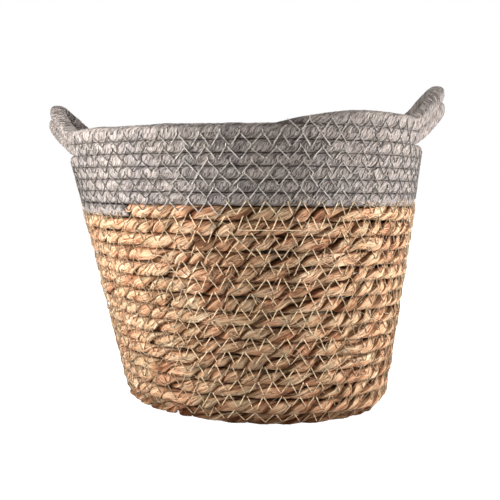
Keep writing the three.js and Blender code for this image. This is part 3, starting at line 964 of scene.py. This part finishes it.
for _ in range(FIBRES):
    length = chance.uniform(*FIBRE_LENGTH)
    angle = chance.uniform(-FIBRE_SLANT, FIBRE_SLANT)
    bow = chance.uniform(-FIBRE_BOW, FIBRE_BOW) * length
    runs = length * spots * math.cos(angle) - bow * arch * math.sin(angle)
    rises = length * spots * math.sin(angle) + bow * arch * math.cos(angle)
    rises = rises + chance.uniform(-FIBRE_OFF_SEAM, FIBRE_OFF_SEAM)
    turn = chance.uniform(FIBRE_MARGIN, SPLICE_TURN - FIBRE_MARGIN)
    tightness = chance.uniform(*FIBRE_TIGHTNESS)
    line = laid_on(turn, runs, rises, tightness, chance.uniform(*FIBRE_CLEAR), FIBRE_SINK)
    if line is not None:
        hairs.append(line)
threads_piece("stray_fibres", hairs, FIBRE_RADIUS, hair, "natural_straw")


# Liner: a thin cup of warm grey waterproof film that stands loose inside the coil and keeps soil and water
# off it, with soft folds in its wall. It isn't seen in the photograph.
LINER_WALL = 0.0008
LINER_CLEARANCE = 0.0006
LINER_LIFT = 0.0004  # above the base
LINER_BEND = 0.003  # from the edge of its floor up to its wall
LINER_TURNS_BELOW_RIM = 4
LINER_ROUND = 180
LINER_ROWS = 40
LINER_WELD = 1e-6
FLOOR_RINGS = (0.0, 0.03, 0.06)
FOLD_DEPTH = 0.0016
FOLDS_ROUND = 11
FOLD_CROWD = 3  # the folds are closer together at some places round the wall than at others
FOLD_LEAN = 2.5
FOLD_AT_FLOOR = 0.35  # a fold's depth at the floor, as a share of what it is above
FOLDS_OUT_POWER = 6  # the higher, the closer to the top the folds run out
film = bpy.data.materials.new("liner_film")
tree, shader, add = node_chain(film)
where = add("ShaderNodeTexCoord").outputs["Object"]
cloud = stretched_noise(tree, add, where, (40, 40), 4.0)
cloud_colour = ramp(add, [(0.35, (0.222, 0.200, 0.180)), (0.65, (0.302, 0.276, 0.252))])
tree.links.new(cloud.outputs["Fac"], cloud_colour.inputs[0])
tree.links.new(cloud_colour.outputs[0], shader.inputs["Base Color"])
shader.inputs["Roughness"].default_value = 0.38
grain = add("ShaderNodeTexNoise")
grain.inputs["Scale"].default_value = 900
tree.links.new(where, grain.inputs["Vector"])
bump = add("ShaderNodeBump")
bump.inputs["Strength"].default_value = 0.25
bump.inputs["Distance"].default_value = 0.0003
tree.links.new(grain.outputs["Fac"], bump.inputs["Height"])
tree.links.new(bump.outputs[0], shader.inputs["Normal"])

liner_floor = BASE_HEIGHT + NATURAL_THICKNESS / 2 + LINER_LIFT
liner_top = float(profile(wind_distance(END_TURN - LINER_TURNS_BELOW_RIM), GREY_THICKNESS)[1])
coil_depth = NATURAL_THICKNESS / math.cos(FLARE_ANGLE)


def liner_radius(z):
    """Radius of the liner's wall at a height"""
    return BASE_RADIUS + WALL_FLARE * z - coil_depth - LINER_CLEARANCE


outline = [(radius, liner_floor) for radius in (*FLOOR_RINGS, liner_radius(liner_floor) - LINER_BEND)]
outline += [(liner_radius(z), z) for z in np.linspace(liner_floor + LINER_BEND, liner_top, LINER_ROWS)]
shape = bmesh.new()
corners = [shape.verts.new((r, 0, z)) for r, z in outline]
edges = [shape.edges.new(pair) for pair in zip(corners, corners[1:])]
bmesh.ops.spin(shape, geom=corners + edges, angle=2 * math.pi, steps=LINER_ROUND, use_merge=True,
               axis=(0, 0, 1), cent=(0, 0, 0))
bmesh.ops.remove_doubles(shape, verts=shape.verts, dist=LINER_WELD)
bmesh.ops.recalc_face_normals(shape, faces=shape.faces)
for corner in shape.verts:
    bearing = math.atan2(corner.co.y, corner.co.x)
    height = (corner.co.z - liner_floor) / (liner_top - liner_floor)
    crowd = FOLD_CROWD * math.sin(2 * bearing)
    fold = 0.5 + 0.5 * math.sin(FOLDS_ROUND * bearing + crowd + FOLD_LEAN * height)
    radius = math.hypot(corner.co.x, corner.co.y)
    if height > 0.001:  # the floor stays flat and round
        fold_up = (FOLD_AT_FLOOR + (1 - FOLD_AT_FLOOR) * height) * (1 - height**FOLDS_OUT_POWER)
        inward = 1 - FOLD_DEPTH * fold * fold_up / radius
        corner.co.x *= inward
        corner.co.y *= inward
    corner.co = Vector(settle(np.array(corner.co)))
bmesh.ops.solidify(shape, geom=shape.faces[:], thickness=LINER_WALL)
bmesh.ops.recalc_face_normals(shape, faces=shape.faces)
finish_piece(shape, "liner_cup", film, "liner_film", "liner")
